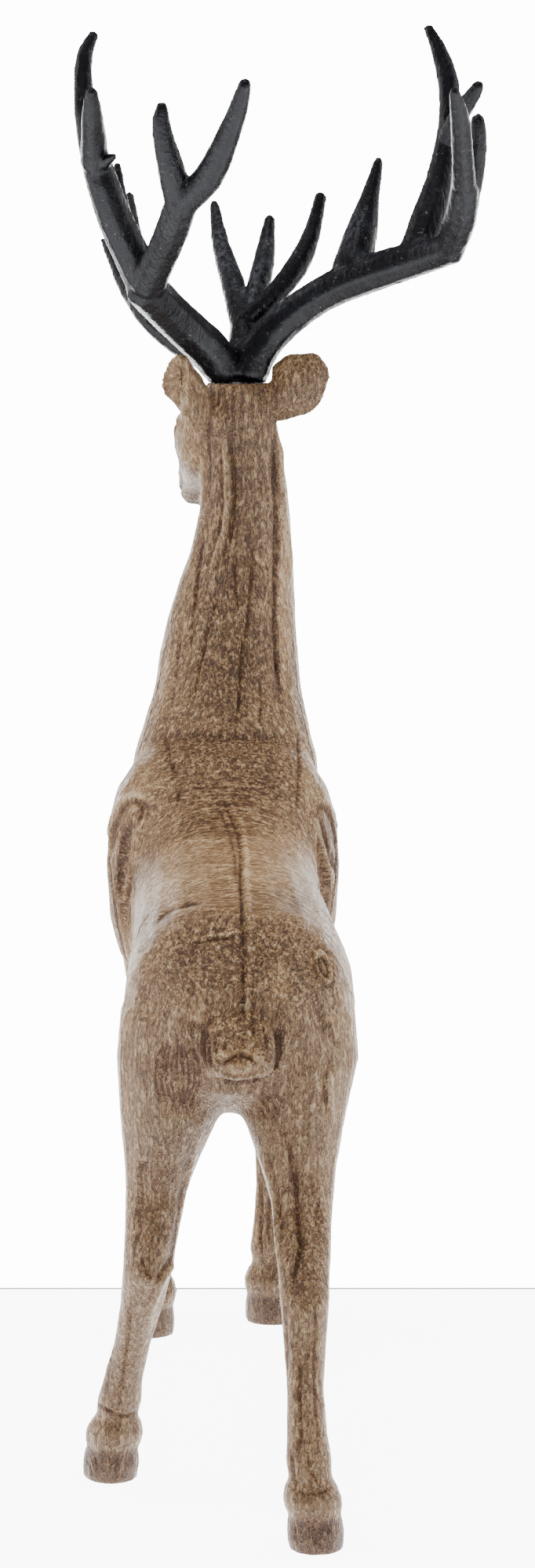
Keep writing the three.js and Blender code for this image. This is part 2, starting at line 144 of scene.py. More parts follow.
SHOULDER_LINES = [
    ([(206, 937), (212, 944), (217, 961), (222, 984), (228, 1006), (226, 1030)], 0.6, 0.7, BACK),
    ([(378, 930), (380, 945), (381, 980), (380, 1003), (377, 1030)], 0.5, 0.7, BACK),
    ([(206, 936), (232, 940), (262, 937), (290, 942), (318, 939), (344, 941), (378, 932)], 1.6, 0.3, BACK),
    ([(142, 1085), (145, 1060), (150, 1040), (159, 1026), (172, 1021), (184, 1025),
      (192, 1037)], 1.0, 0.9, BACK),
    ([(138, 1080), (142, 1052), (149, 1032), (159, 1018), (174, 1013), (190, 1019)], 1.1, -1.3, BACK),
    ([(186, 1040), (176, 1064), (170, 1092), (164, 1120), (158, 1152)], 1.0, -1.0, BACK),
    ([(180, 1024), (180, 1036), (178, 1046)], 0.8, 0.9, BACK),
    ([(153, 1150), (152, 1120), (154, 1093), (159, 1068), (167, 1056), (178, 1051)], 1.3, 0.7, BACK),
    ([(431, 1120), (430, 1082), (425, 1048), (416, 1031), (408, 1029), (402, 1040)], 0.9, 1.0, BACK),
    ([(407, 1038), (412, 1062), (421, 1092), (428, 1115)], 0.8, 0.9, BACK),
    ([(402, 1042), (407, 1066), (415, 1096), (423, 1122)], 0.9, -1.0, BACK),
    ([(434, 1118), (434, 1080), (429, 1044), (419, 1024), (408, 1020)], 0.9, -1.1, BACK),
    ([(214, 1085), (222, 1078), (240, 1074), (262, 1072), (288, 1075)], 0.5, -0.5, BACK),
    ([(214, 1086), (217, 1096), (222, 1104)], 0.5, 0.5, BACK),
    ([(345, 1078), (362, 1086), (378, 1098), (386, 1108)], 0.5, 0.5, BACK),
    ([(196, 1180), (210, 1164), (226, 1156), (244, 1153), (264, 1152)], 0.7, 0.7, BACK),
    ([(240, 1157), (252, 1155), (266, 1155)], 0.5, -0.4, BACK),
    ([(182, 1120), (200, 1108), (216, 1104), (236, 1102)], 0.6, 0.4, BACK),
    ([(178, 1160), (192, 1140), (208, 1128), (232, 1122)], 0.7, -0.5, BACK),
    ([(236, 1200), (258, 1196), (282, 1193), (305, 1190)], 0.5, -0.6, BACK),
    ([(238, 1204), (262, 1200), (304, 1195)], 0.5, 0.6, BACK),
    ([(322, 1206), (345, 1213), (366, 1218), (386, 1222)], 0.4, -0.5, BACK),
    ([(324, 1224), (344, 1232), (364, 1238)], 0.5, 0.5, BACK),
    ([(264, 1244), (282, 1240), (306, 1235)], 0.6, 0.7, BACK),
]
RUMP_LINES = [
    ([(421, 1362), (420, 1384), (422, 1404), (424, 1430)], 0.9, -0.8, RUMP),
    ([(415, 1360), (414, 1384), (415, 1410)], 0.7, 0.5, RUMP),
    ([(260, 1312), (263, 1322), (263, 1340), (267, 1354), (271, 1364)], 0.9, 1.3, RUMP),
    ([(355, 1310), (354, 1326), (355, 1342), (352, 1358), (346, 1367)], 0.9, 1.3, RUMP),
    ([(271, 1361), (277, 1351), (281, 1359), (289, 1354), (302, 1346), (315, 1348), (326, 1356),
      (336, 1361),
      (344, 1365)], 0.5, 0.6, RUMP),
    ([(271, 1356), (279, 1345), (290, 1348), (303, 1340), (316, 1342), (328, 1350),
      (341, 1359)], 0.7, -0.6, RUMP),
    ([(274, 1365), (284, 1371), (297, 1375), (315, 1374), (332, 1370), (344, 1366)], 0.6, -0.9, RUMP),
    ([(278, 1374), (297, 1380), (318, 1379), (338, 1373)], 0.8, 0.9, RUMP),
    ([(276, 1320), (274, 1334), (277, 1347)], 0.4, 0.5, RUMP),
    ([(289, 1312), (287, 1328), (289, 1342)], 0.4, 0.4, RUMP),
    ([(322, 1306), (324, 1322), (329, 1340)], 0.4, 0.5, RUMP),
    ([(334, 1308), (338, 1324), (340, 1342)], 0.4, 0.5, RUMP),
    ([(344, 1318), (347, 1334), (346, 1352)], 0.4, 0.4, RUMP),
    ([(334, 1392), (344, 1404), (356, 1420)], 0.5, 0.6, RUMP),
    ([(328, 1396), (338, 1409), (350, 1426)], 0.5, 0.6, RUMP),
    ([(323, 1402), (332, 1415), (342, 1430)], 0.5, 0.5, RUMP),
]
LEG_LINES = [
    ([(352, 1420), (362, 1440), (372, 1478), (378, 1510), (380, 1560), (383, 1590), (378, 1615), (372, 1650)],
     0.8, 1.1, (-20, 90)),
    ([(259, 1440), (249, 1465), (240, 1495), (234, 1530), (229, 1570), (225, 1605), (208, 1632),
      (196, 1662),
      (188, 1700)], 0.9, -1.0, (0, 110)),
    ([(252, 1450), (241, 1482), (232, 1520), (226, 1560), (220, 1600), (202, 1630),
      (190, 1664)], 0.8, 0.7, (0, 110)),
    ([(329, 1455), (336, 1480), (345, 1510), (351, 1545), (354, 1580), (356, 1620)], 0.8, -0.9, (-20, 90)),
    ([(336, 1458), (344, 1484), (352, 1514), (358, 1550), (361, 1590)], 0.7, 0.6, (-20, 90)),
    ([(180, 1600), (186, 1622), (196, 1635)], 0.7, 0.6, (0, 110)),
    ([(367, 1640), (363, 1680), (366, 1720), (364, 1770)], 0.7, 0.6, (-20, 60)),
    ([(400, 1640), (402, 1690), (399, 1740), (402, 1800), (406, 1850)], 0.6, 0.5, (-20, 60)),
    ([(384, 1720), (382, 1770), (384, 1830), (378, 1862)], 0.6, 0.7, (-20, 60)),
    ([(372, 1850), (374, 1880), (379, 1896)], 0.6, 0.7, (-20, 60)),
    ([(392, 1860), (398, 1880), (405, 1894)], 0.5, 0.6, (-20, 60)),
    ([(366, 1894), (378, 1901), (392, 1906), (410, 1904), (424, 1896)], 0.7, 0.6, (-20, 60)),
    ([(377, 1945), (376, 1960), (381, 1975)], 0.4, 0.5, (-20, 60)),
    ([(396, 1952), (401, 1966), (411, 1972)], 0.4, 0.4, (-20, 60)),
    ([(418, 1945), (421, 1962), (417, 1976)], 0.4, 0.5, (-20, 60)),
    ([(118, 1788), (131, 1795), (148, 1805), (162, 1807), (178, 1799)], 0.6, 0.9, (0, 110)),
    ([(112, 1862), (115, 1872), (119, 1884)], 0.4, 0.5, (0, 110)),
    ([(121, 1858), (124, 1870), (125, 1884)], 0.4, 0.4, (0, 110)),
    ([(152, 1858), (147, 1872), (149, 1886)], 0.4, 0.5, (0, 110)),
    ([(150, 1640), (146, 1690), (140, 1740), (134, 1790)], 0.6, 0.6, (0, 110)),
    ([(168, 1650), (164, 1700), (156, 1760), (150, 1810)], 0.6, 0.6, (0, 110)),
    ([(333, 1500), (334, 1540), (332, 1580), (336, 1606)], 0.6, 0.7, (200, 320)),
    ([(343, 1520), (342, 1560), (344, 1590)], 0.5, 0.5, (200, 320)),
]
KNOT_CENTRE = (412.0, 1233.0)
KNOT_HALF = (8.0, 20.0)
KNOT_TILT = 0.32

# Lines on the flanks, which both sides have: points from the side, as far from the rear and high, in mm.
FLANK_LINES = [
    ([(238, 214), (222, 205), (208, 188), (203, 168), (209, 148), (222, 134)], 1.3, 0.9),
    ([(232, 210), (216, 200), (203, 184), (197, 166)], 1.4, -0.5),
    ([(100, 196), (93, 178), (96, 158), (106, 146), (128, 140)], 1.3, 0.9),
    ([(90, 192), (84, 172), (87, 152), (80, 132), (70, 118)], 1.2, 0.6),
    ([(186, 192), (180, 174), (181, 156), (188, 146)], 1.0, 0.4),
    ([(166, 193), (160, 175), (161, 158), (168, 148)], 1.0, 0.4),
    ([(146, 193), (140, 176), (141, 160), (148, 150)], 1.0, 0.4),
    ([(60, 178), (48, 160), (46, 138), (52, 118)], 1.1, 0.5),
    ([(246, 250), (238, 232), (234, 216)], 1.1, 0.6),
    ([(262, 330), (258, 300), (252, 270), (247, 240)], 1.0, 0.6),
    ([(272, 320), (270, 292), (266, 262), (262, 232), (256, 205)], 1.1, 0.7),
]

# Wavy locks on the chest, seen from the front: across and high, in mm.
CHEST_LINES = [
    ([(-5 + step, 300), (-6 + 1.2 * step, 270), (-4 + 1.5 * step, 240), (-5 + 1.7 * step, 205),
      (-5 + 1.3 * step, 165)], 0.9, 0.7)
    for step in (-12, -7, -2.5, 2.5, 7, 12)
]

# Where the brown wash lies thickest on the sheet, and where shade is painted below the tail: middle, half
# sizes and strength.
WASH_AND_SHADE_PATCHES = [
    ((292, 985), (98, 62), 1.0), ((310, 600), (46, 120), 0.75), ((296, 780), (56, 150), 0.85),
    ((285, 1215), (90, 75), 0.7), ((330, 1260), (100, 60), 0.65), ((300, 1330), (95, 60), 0.55),
    ((280, 1060), (70, 50), 0.45), ((196, 1600), (40, 40), 0.7), ((385, 1620), (36, 40), 0.6),
    # The patch at (300, 1400) is painted shade under the tail and between the thighs.
    ((210, 1480), (50, 50), 0.5), ((300, 1400), (60, 40), 0.6), ((395, 1960), (50, 26), 0.6),
    ((140, 1860), (50, 26), 0.6), ((345, 1585), (20, 40), 0.6), ((330, 500), (50, 30), 0.6),
    ((163, 1100), (14, 55), 0.9), ((420, 1080), (12, 50), 0.7),
]
# Smooth, pale places on the sheet: middle, half sizes and strength.
BARE_PATCHES = [
    ((357, 1250), (16, 30), 1.0), ((250, 1292), (20, 16), 0.8), ((362, 760), (14, 130), 0.8),
    ((238, 560), (12, 90), 0.5), ((230, 1130), (50, 40), 0.5), ((352, 1090), (50, 40), 0.5),
    ((278, 535), (16, 14), 0.5), ((160, 1260), (14, 90), 0.5), ((446, 1260), (16, 90), 0.5),
    ((222, 487), (11, 32), 1.0), ((255, 1105), (70, 40), 0.6), ((345, 1100), (60, 45), 0.7),
    ((170, 985), (30, 60), 0.5), ((400, 985), (20, 60), 0.5), ((185, 860), (40, 80), 0.4),
    ((308, 1350), (40, 24), 0.6), ((307, 1364), (26, 10), 0.9), ((285, 1140), (50, 30), 0.3),
]


def ring_lines():
    """Wavy lines that lie side by side like year rings on the left buttock."""
    lines = []
    for number in range(9):
        share = np.linspace(0, 1, 30)
        spread = (number - 4) * 7.0 * np.sin(math.pi * (0.14 + 0.72 * share))
        wave = 1.6 * np.sin(9 * share + 0.5 * number) + 0.8 * np.sin(23 * share + 0.9 * number)
        points = np.stack([226 + spread + wave * share, 1322 + 98 * share], 1)
        lines.append((points, 0.45, 0.5 if number < 5 else 0.8, RUMP))
    return lines


def knot_lines():
    """A tilted oval knot with a raised rim on the right of the loin."""
    angles = np.linspace(0, 2 * np.pi, 25)
    lines = []
    for share, half_width, depth in ((1.0, 0.6, -0.7), (0.62, 0.5, 0.8), (1.35, 0.5, 0.5)):
        across, down = share * KNOT_HALF[0] * np.cos(angles), share * KNOT_HALF[1] * np.sin(angles)
        x = KNOT_CENTRE[0] + across * math.cos(KNOT_TILT) + down * math.sin(KNOT_TILT)
        y = KNOT_CENTRE[1] - across * math.sin(KNOT_TILT) + down * math.cos(KNOT_TILT)
        lines.append((np.stack([x, y], 1), half_width, depth, BACK))
    return lines


def comb_lines():
    """Rows of short parallel nicks, as a toothed gouge leaves them."""
    rows = [
        ((392, 1270), (414, 1326), 16, (17, 5), (0, 140)),
        ((176, 1480), (168, 1590), 30, (13, 4), (0, 110)),
        ((392, 1500), (402, 1580), 22, (14, 5), RUMP),
    ]
    lines = []
    for start, end, count, (run, fall), reach in rows:
        for share in np.linspace(0, 1, count):
            x = start[0] + share * (end[0] - start[0])
            y = start[1] + share * (end[1] - start[1])
            lines.append(([(x, y), (x + run, y + fall)], 0.3, 0.35, reach))
    return lines


def drawn_lines():
    """Every line that is drawn on the sheet."""
    plain = SPINE_LINES + NECK_LINES + SHOULDER_LINES + RUMP_LINES + LEG_LINES
    return plain + ring_lines() + knot_lines() + comb_lines()


# Mesh arrays


def cad_copy(node, name):
    """A merged copy of a solid's mesh."""
    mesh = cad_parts[node].data.copy()
    mesh.name = name
    work = bmesh.new()
    work.from_mesh(mesh)
    bmesh.ops.remove_doubles(work, verts=work.verts, dist=1e-6)
    work.to_mesh(mesh)
    work.free()
    mesh.materials.clear()
    return mesh


def swell_ears(mesh, amount):
    """Gives the ears' thin rims enough body for an even skin."""
    skin = Skin(mesh)
    x, _, height = (skin.co - TABLE_ZERO).T
    ears = (height > 350) & (np.abs(x - CROWN_MIDDLE) > 17)
    skin.co += (amount * ears)[:, None] * skin.normals()
    skin.write()
    return mesh


def even_skin(mesh, size):
    """The same form with an even skin of small faces."""
    piece = bpy.data.objects.new(mesh.name, mesh)
    bpy.context.scene.collection.objects.link(piece)
    modifier = piece.modifiers.new("Even skin", "REMESH")
    modifier.mode = "VOXEL"
    modifier.voxel_size = size
    modifier.use_smooth_shade = True
    settle(piece)
    return piece


def settle(piece):
    """Turns a piece's modifiers into its mesh."""
    bpy.context.view_layer.update()
    name = piece.name
    evaluated = piece.evaluated_get(bpy.context.evaluated_depsgraph_get())
    mesh = bpy.data.meshes.new_from_object(evaluated)
    piece.modifiers.clear()
    piece.data = mesh
    mesh.name = name


def thin_out(piece, triangles):
    """Merges faces where the skin is flat, down to a number of triangles."""
    now = sum(len(face.vertices) - 2 for face in piece.data.polygons)
    modifier = piece.modifiers.new("Thin out", "DECIMATE")
    modifier.ratio = min(1.0, triangles / now)
    modifier.use_collapse_triangulate = True
    settle(piece)


class Skin:
    """The points, edges and normals of a mesh as arrays, in mm."""

    def __init__(self, mesh):
        self.mesh = mesh
        self.co = np.zeros(len(mesh.vertices) * 3, np.float64)
        mesh.vertices.foreach_get("co", self.co)
        self.co = self.co.reshape(-1, 3) / MM
        edges = np.zeros(len(mesh.edges) * 2, np.int64)
        mesh.edges.foreach_get("vertices", edges)
        self.edges = edges.reshape(-1, 2)
        self.count = np.bincount(self.edges.ravel(), minlength=len(self.co)).astype(float)
        self.start = np.concatenate([self.edges[:, 0], self.edges[:, 1]])
        self.end = np.concatenate([self.edges[:, 1], self.edges[:, 0]])
        loops = np.zeros(len(mesh.loops), np.int64)
        mesh.loops.foreach_get("vertex_index", loops)
        totals = np.zeros(len(mesh.polygons), np.int64)
        mesh.polygons.foreach_get("loop_total", totals)
        self.quads = loops.reshape(-1, 4) if np.all(totals == 4) else None
        self.corners = (loops, totals)

    def mean_of_neighbours(self, values):
        """The mean of a value, or of each column, over each point's neighbours."""
        values = values if values.ndim > 1 else values[:, None]
        total = np.stack([
            np.bincount(self.start, weights=column[self.end], minlength=len(self.co)) for column in values.T
        ], 1)
        return total / self.count[:, None]

    def normals(self):
        """Unit normals of the points."""
        first = np.concatenate([[0], np.cumsum(self.corners[1])[:-1]])
        loops = self.corners[0]
        a, b, c = (self.co[loops[first + k]] for k in range(3))
        face = np.cross(b - a, c - a)
        if self.quads is not None:
            d = self.co[loops[first + 3]]
            face = np.cross(c - a, d - b)
        spread = np.repeat(face, self.corners[1], axis=0)
        normal = np.stack([
            np.bincount(loops, weights=column, minlength=len(self.co)) for column in spread.T
        ], 1)
        return normal / np.maximum(np.linalg.norm(normal, axis=1, keepdims=True), 1e-12)

    def relax(self, rounds, weight):
        """Smooths without shrinking."""
        for _ in range(rounds):
            for share in (0.5, -0.52):
                self.co += share * weight[:, None] * (self.mean_of_neighbours(self.co) - self.co)

    def fill(self, rounds, weight):
        """Fills creases to a fillet and leaves everything that bulges alone."""
        for _ in range(rounds):
            step = self.mean_of_neighbours(self.co) - self.co
            normal = self.normals()
            out = np.maximum(np.einsum("ij,ij->i", step, normal), 0)
            self.co += (0.6 * weight * out)[:, None] * normal

    def curvature(self, rounds):
        """Positive in grooves, negative on ridges, averaged over a few neighbours."""
        step = self.mean_of_neighbours(self.co) - self.co
        value = np.einsum("ij,ij->i", step, self.normals())
        for _ in range(rounds):
            value = 0.5 * value + 0.5 * self.mean_of_neighbours(value)[:, 0]
        return value

    def write(self):
        """Puts the points back in the mesh."""
        self.mesh.vertices.foreach_set("co", (self.co * MM).astype(np.float32).ravel())
        self.mesh.update()

    def attribute(self, name, values):
        """Keeps a value for each point, for the materials."""
        layer = self.mesh.attributes.new(name, "FLOAT", "POINT")
        layer.data.foreach_set("value", values.astype(np.float32))


def smoothstep(low, high, value):
    """0 below low, 1 above high and smooth between."""
    share = np.clip((value - low) / (high - low), 0, 1)
    return share * share * (3 - 2 * share)


def from_segments(points, line):
    """Distance of each point to a line of any dimension, and the share of the way along it."""
    line = np.asarray(line, float)
    best = np.full(len(points), np.inf)
    along = np.zeros(len(points))
    lengths = np.linalg.norm(np.diff(line, axis=0), axis=1)
    starts = np.concatenate([[0], np.cumsum(lengths)])
    for index, (a, b) in enumerate(zip(line[:-1], line[1:])):
        way = b - a
        share = np.clip((points - a) @ way / max(way @ way, 1e-12), 0, 1)
        distance = np.linalg.norm(points - a - share[:, None] * way, axis=1)
        nearer = distance < best
        best[nearer] = distance[nearer]
        along[nearer] = (starts[index] + share[nearer] * lengths[index]) / starts[-1]
    return best, along


def on_sheet(co):
    """Where points in mm fall on the sheet, and how many sheet units a millimetre is there."""
    offset = co * MM - EYE
    sine, cosine = math.sin(EYE_PITCH), math.cos(EYE_PITCH)
    depth = offset[:, 1] * cosine - offset[:, 2] * sine
    height = offset[:, 1] * sine + offset[:, 2] * cosine
    scale = SHEET_SCALE / depth
    return np.stack([SHEET_CENTRE[0] + scale * offset[:, 0], SHEET_CENTRE[1] - scale * height], 1), scale * MM


def in_head(table):
    """Points in the head's own frame: ahead of the skull's back, to the stag's right, and up."""
    offset = table - HEAD_START
    side = offset[:, 0] * math.cos(HEAD_YAW) + offset[:, 1] * math.sin(HEAD_YAW)
    forward = -offset[:, 0] * math.sin(HEAD_YAW) + offset[:, 1] * math.cos(HEAD_YAW)
    ahead = forward * math.cos(HEAD_PITCH) - offset[:, 2] * math.sin(HEAD_PITCH)
    up = forward * math.sin(HEAD_PITCH) + offset[:, 2] * math.cos(HEAD_PITCH)
    return ahead, side, up


def groove_profile(distance, along, half_width, closed):
    """1 on a line, falling off beside it and towards its ends."""
    profile = np.exp(-((distance / half_width) ** 2))
    return profile if closed else profile * np.minimum(1, 5 * np.minimum(along, 1 - along) + 0.15)


def carve_lines(skin, flat, scale, facing, lines):
    """Depth of drawn grooves at each point. flat holds the points in the plane of the drawing."""
    depths = np.zeros(len(skin.co))
    behind = skin.co[:, 1] - TABLE_ZERO[1]
    for points, half_width, depth, (near, far) in lines:
        line = np.asarray(points, float)
        reach = 3 * half_width * float(np.max(scale))
        inside = np.all((flat > line.min(0) - reach) & (flat < line.max(0) + reach), axis=1)
        index = np.where(inside & (behind > near) & (behind < far) & (facing > 0))[0]
        distance, along = from_segments(flat[index], line)
        closed = np.allclose(line[0], line[-1])
        profile = groove_profile(distance / scale[index], along, half_width, closed)
        depths[index] += depth * profile * facing[index]
    return depths


def drawn_depths(skin):
    """Depths of all the drawn lines, from behind, from the sides and from the front."""
    normal = skin.normals()
    table = skin.co - TABLE_ZERO
    even = np.ones(len(table))
    sheet, scale = on_sheet(skin.co)
    look = skin.co * MM - EYE
    look /= np.linalg.norm(look, axis=1, keepdims=True)
    seen = -np.einsum("ij,ij->i", look, normal)
    depths = carve_lines(skin, sheet, scale, smoothstep(0.02, 0.25, seen), drawn_lines())
    flank = smoothstep(0.45, 0.75, np.abs(normal[:, 0])) * smoothstep(0.45, 0.2, seen)
    everywhere = (-50, 400)
    sides = [(*line, everywhere) for line in FLANK_LINES]
    depths += carve_lines(skin, table[:, 1:], even, flank, sides)
    chest = smoothstep(0.35, 0.7, normal[:, 1]) * smoothstep(235, 250, table[:, 1])
    front = [(*line, everywhere) for line in CHEST_LINES]
    return depths + carve_lines(skin, table[:, [0, 2]], even, chest, front)


def head_depths(skin):
    """Depths of the eyes, lids, nostrils and mouth."""
    ahead, side, up = in_head(skin.co - TABLE_ZERO)
    outer = smoothstep(6, 9, np.abs(side)) * smoothstep(0, 6, ahead)
    from_eye = ahead - EYE_PLACE[0]
    eye = np.hypot(from_eye / EYE_HALF[0], (up - EYE_PLACE[1] + 0.12 * from_eye) / EYE_HALF[1])
    depths = outer * (0.9 * np.exp(-(((eye - 1.05) / 0.22) ** 2)) - 0.5 * smoothstep(1.0, 0.2, eye))
    depths -= outer * 0.35 * np.exp(-(((eye - 1.5) / 0.25) ** 2))
    nostril = np.hypot(
        (ahead - NOSTRIL_PLACE[0]) / NOSTRIL_HALF[0], (up - NOSTRIL_PLACE[1]) / NOSTRIL_HALF[1]
    )
    depths += smoothstep(3.2, 4.2, np.abs(side)) * 1.5 * smoothstep(1.3, 0.5, nostril)
    mouth = np.exp(-(((up + 4.2 - 0.05 * (ahead - 60)) / 0.7) ** 2)) * smoothstep(46, 52, ahead)
    cheek = np.exp(-(((up + 6 - 0.4 * (ahead - 30)) / 1.3) ** 2))
    cheek = cheek * smoothstep(24, 28, ahead) * smoothstep(46, 40, ahead)
    return depths + mouth + outer * 0.6 * cheek


def flaps(faces):
    """Faces that lie back to back on the same points and hang from the skin by one edge."""
    together = {}
    for face in faces:
        together.setdefault(frozenset(face.verts), []).append(face)
    return [face for pair in together.values() if len(pair) > 1 for face in pair]


def refine(piece, size, rounds):
    """Splits the faces beside the drawn lines until their edges are about a size."""
    for _ in range(rounds):
        skin = Skin(piece.data)
        near = np.abs(drawn_depths(skin)) > TRACE
        first, second = skin.edges.T
        long = np.linalg.norm(skin.co[first] - skin.co[second], axis=1) > size
        chosen = np.where((near[first] | near[second]) & long)[0]
        work = bmesh.new()
        work.from_mesh(piece.data)
        work.edges.ensure_lookup_table()
        bmesh.ops.subdivide_edges(work, edges=[work.edges[number] for number in chosen], cuts=1)
        bmesh.ops.triangulate(work, faces=[face for face in work.faces if len(face.verts) > 3])
        bmesh.ops.delete(work, geom=flaps(work.faces), context="FACES")
        work.to_mesh(piece.data)
        work.free()


def gouge_tree():
    """Low relief of long soft cuts, pushed along the normals where a piece allows it."""
    tree = bpy.data.node_groups.new("gouge cuts", "GeometryNodeTree")
    face = tree.interface
    face.new_socket("Geometry", in_out="INPUT", socket_type="NodeSocketGeometry")
    for name in ("Depth", "Cuts per metre", "Seed"):
        face.new_socket(name, in_out="INPUT", socket_type="NodeSocketFloat")
    face.new_socket("Stretch", in_out="INPUT", socket_type="NodeSocketVector")
    face.new_socket("Finish", in_out="INPUT", socket_type="NodeSocketMaterial")
    face.new_socket("Geometry", in_out="OUTPUT", socket_type="NodeSocketGeometry")
    nodes = Nodes(tree)
    given = nodes.add("NodeGroupInput").outputs
    place = nodes.add("GeometryNodeInputPosition").outputs[0]
    place = nodes.add(
        "ShaderNodeVectorMath", {0: place, 1: given["Stretch"]}, operation="MULTIPLY"
    ).outputs[0]
    cuts = nodes.add(
        "ShaderNodeTexNoise",
        {
            "Vector": place, "W": given["Seed"], "Scale": given["Cuts per metre"],
            "Detail": 2.0, "Distortion": 0.6,
        },
        noise_dimensions="4D",
    ).outputs[0]
    allowed = nodes.add("GeometryNodeInputNamedAttribute", {"Name": "relief"}, data_type="FLOAT").outputs[0]
    depth = nodes.math("MULTIPLY", nodes.math("SUBTRACT", cuts, 0.5), given["Depth"])
    depth = nodes.math("MULTIPLY", depth, allowed)
    normal = nodes.add("GeometryNodeInputNormal").outputs[0]
    push = nodes.add("ShaderNodeVectorMath", {0: normal, "Scale": depth}, operation="SCALE").outputs[0]
    moved = nodes.add("GeometryNodeSetPosition", {"Geometry": given["Geometry"], "Offset": push}).outputs[0]
    whole = nodes.add("GeometryNodeRealizeInstances", {"Geometry": moved}).outputs[0]
    dressed = nodes.add(
        "GeometryNodeSetMaterial", {"Geometry": whole, "Material": given["Finish"]}
    ).outputs[0]
    nodes.add("NodeGroupOutput", {"Geometry": dressed})
    return tree


def cut_relief(piece, values):
    """Runs the gouge cuts over a piece and keeps the result as its mesh."""
    modifier = piece.modifiers.new("Gouge cuts", "NODES")
    tree = bpy.data.node_groups.get("gouge cuts") or gouge_tree()
    modifier.node_group = tree
    for item in tree.interface.items_tree:
        if item.in_out == "INPUT" and item.name in values:
            modifier[item.identifier] = values[item.name]
    settle(piece)


# Materials


class Nodes:
    """Adds nodes to a tree and joins them."""

    def __init__(self, tree):
        self.tree = tree
        tree.nodes.clear()

    def add(self, kind, inputs=None, **settings):
        node = self.tree.nodes.new(kind)
        for key, value in settings.items():
            setattr(node, key, value)
        for key, value in (inputs or {}).items():
            socket = node.inputs[key]
            if isinstance(value, bpy.types.NodeSocket):
                self.tree.links.new(value, socket)
            else:
                socket.default_value = value
        return node

    def math(self, operation, first, second=0.0, clamp=False):
        node = self.add("ShaderNodeMath", {0: first, 1: second}, operation=operation, use_clamp=clamp)
        return node.outputs[0]

    def mix(self, share, first, second):
        node = self.tree.nodes.new("ShaderNodeMix")
        for socket, value in zip((node.inputs[0], node.inputs[2], node.inputs[3]), (share, first, second)):
            self.tree.links.new(value, socket)
        return node.outputs[0]

    def range(self, value, low, high, to_low=0.0, to_high=1.0):
        node = self.add(
            "ShaderNodeMapRange",
            {"Value": value, "From Min": low, "From Max": high, "To Min": to_low, "To Max": to_high},
        )
        return node.outputs["Result"]

    def blend(self, share, first, second, blend_type="MIX"):
        node = self.tree.nodes.new("ShaderNodeMix")
        node.data_type = "RGBA"
        node.blend_type = blend_type
        for socket, value in zip((node.inputs[0], node.inputs[6], node.inputs[7]), (share, first, second)):
            if isinstance(value, bpy.types.NodeSocket):
                self.tree.links.new(value, socket)
            else:
                socket.default_value = value
        return node.outputs[2]

    def attribute(self, name):
        return self.add("ShaderNodeAttribute", attribute_name=name, attribute_type="GEOMETRY").outputs["Fac"]

    def place(self, scale, rotation=(0, 0, 0), location=(0, 0, 0)):
        coordinates = self.add("ShaderNodeTexCoord").outputs["Object"]
        return self.add(
            "ShaderNodeMapping",
            {"Vector": coordinates, "Scale": scale, "Rotation": rotation, "Location": location},
        ).outputs["Vector"]

    def noise(self, vector, scale, detail=2.0, roughness=0.5, distortion=0.0):
        return self.add(
            "ShaderNodeTexNoise",
            {
                "Vector": vector, "Scale": scale, "Detail": detail,
                "Roughness": roughness, "Distortion": distortion,
            },
        ).outputs["Fac"]


def new_material(name):
    """An empty material and its nodes."""
    material = bpy.data.materials.new(name)
    material.use_nodes = True
    return material, Nodes(material.node_tree)


def opaque(colour):
    """A colour with full alpha."""
    return (*colour[:3], 1.0)


